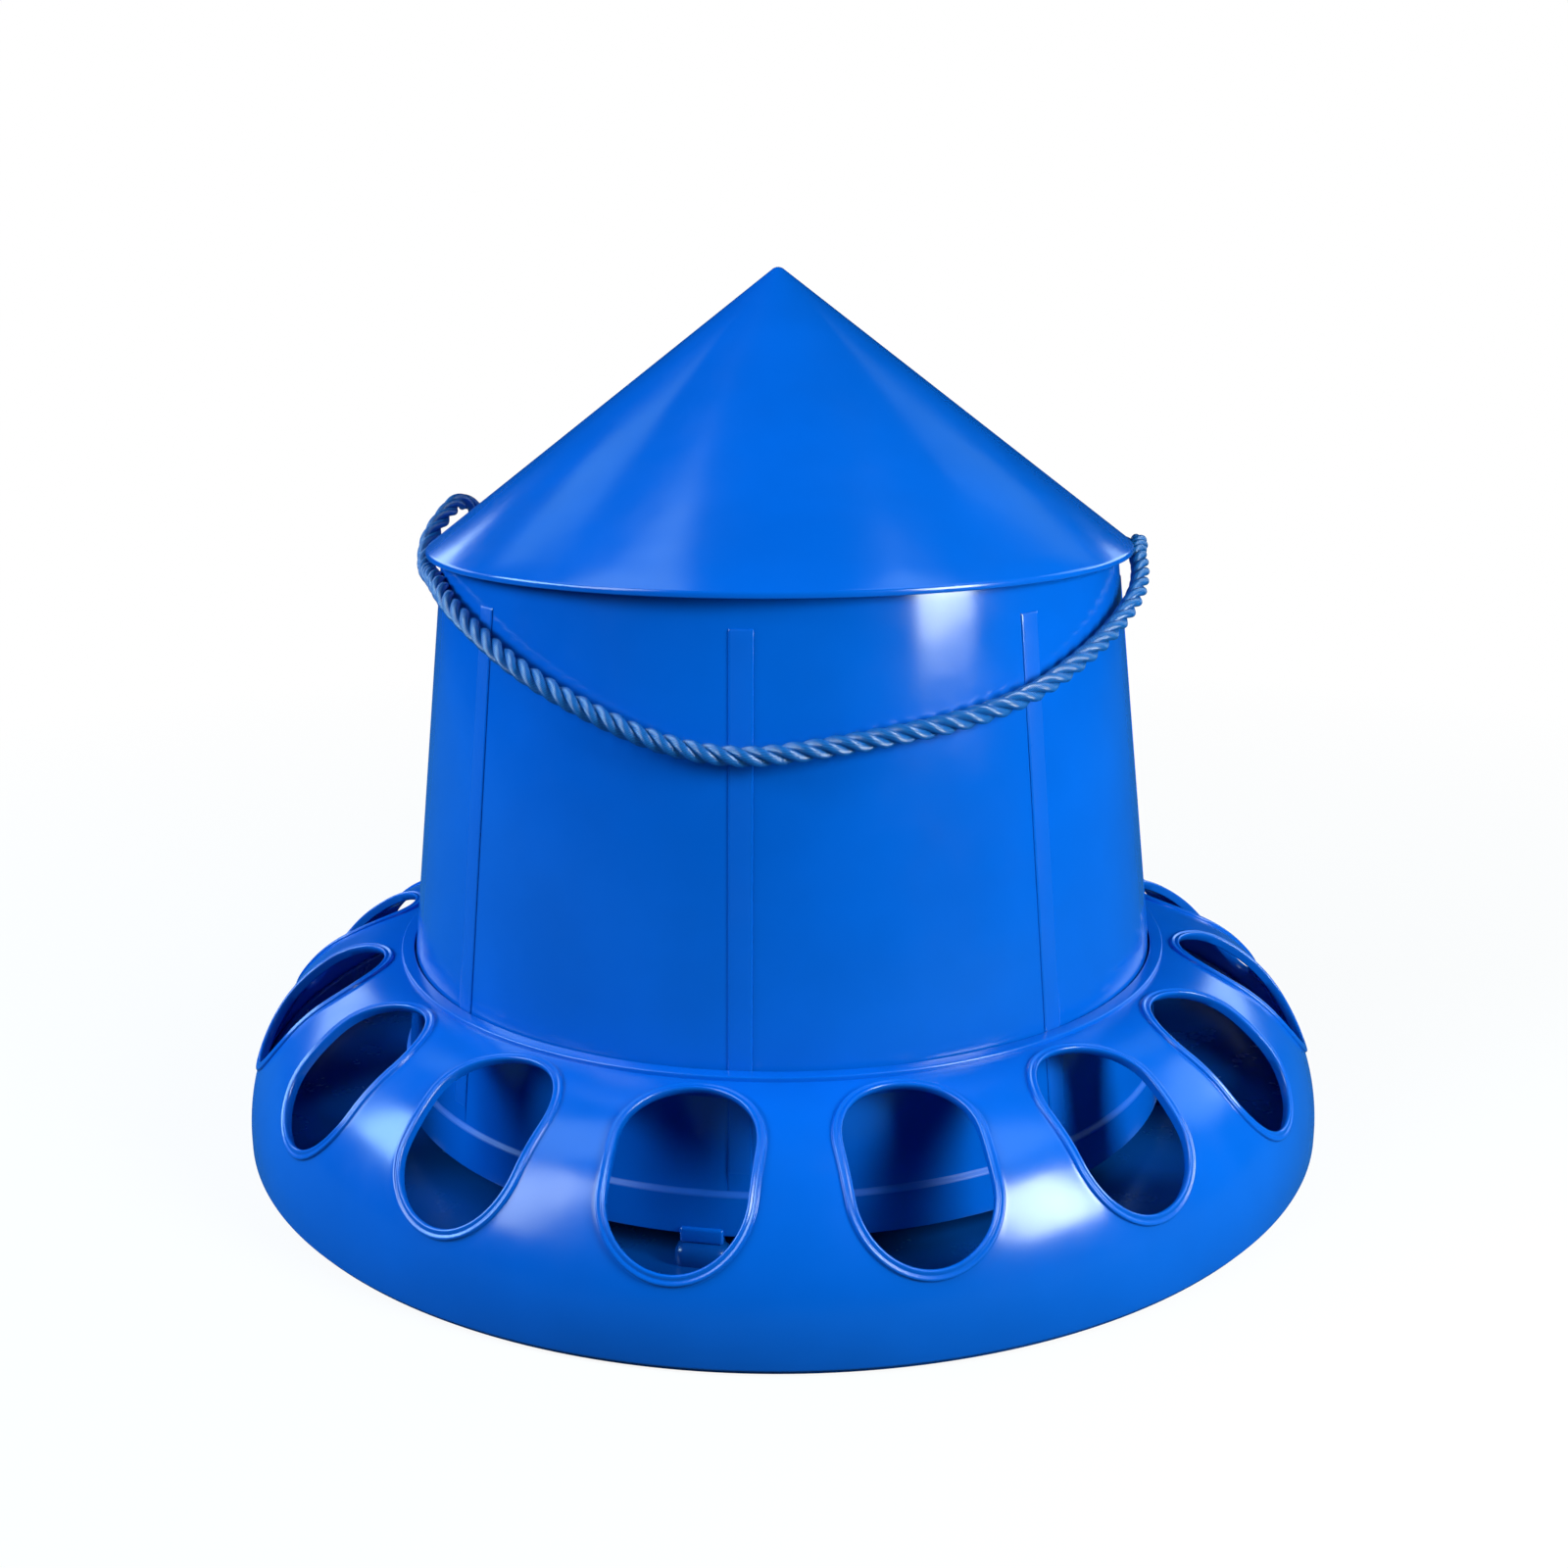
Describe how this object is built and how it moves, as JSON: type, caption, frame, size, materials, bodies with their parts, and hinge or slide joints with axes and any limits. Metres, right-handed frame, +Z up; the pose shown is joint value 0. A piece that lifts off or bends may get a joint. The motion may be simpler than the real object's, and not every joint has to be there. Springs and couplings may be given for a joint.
{
  "type": "poultry feeder",
  "caption": "Gravity poultry feeder: a cone lid on a tapering hopper, over a pan covered by a domed ring of feeding openings, with a rope handle.",
  "frame": {"origin": "on the floor, on the axis of the hopper, in the middle of the pan's underside", "axes": "+Z up, along the hopper's axis to the lid's tip; the front, where the rope hangs, is -Y; +X is to the right from the front"},
  "size_m": [0.42, 0.42, 0.3201],
  "materials": {
    "blue_plastic": "glossy moulded plastic",
    "blue_rope": "satin twisted fibre"
  },
  "bodies": {
    "root": {"lid": "blue_plastic", "hopper": "blue_plastic", "feeding_ring": "blue_plastic", "pan": "blue_plastic", "rope_handle": "blue_rope", "knot_left": "blue_rope", "knot_right": "blue_rope"}
  },
  "joints": []
}
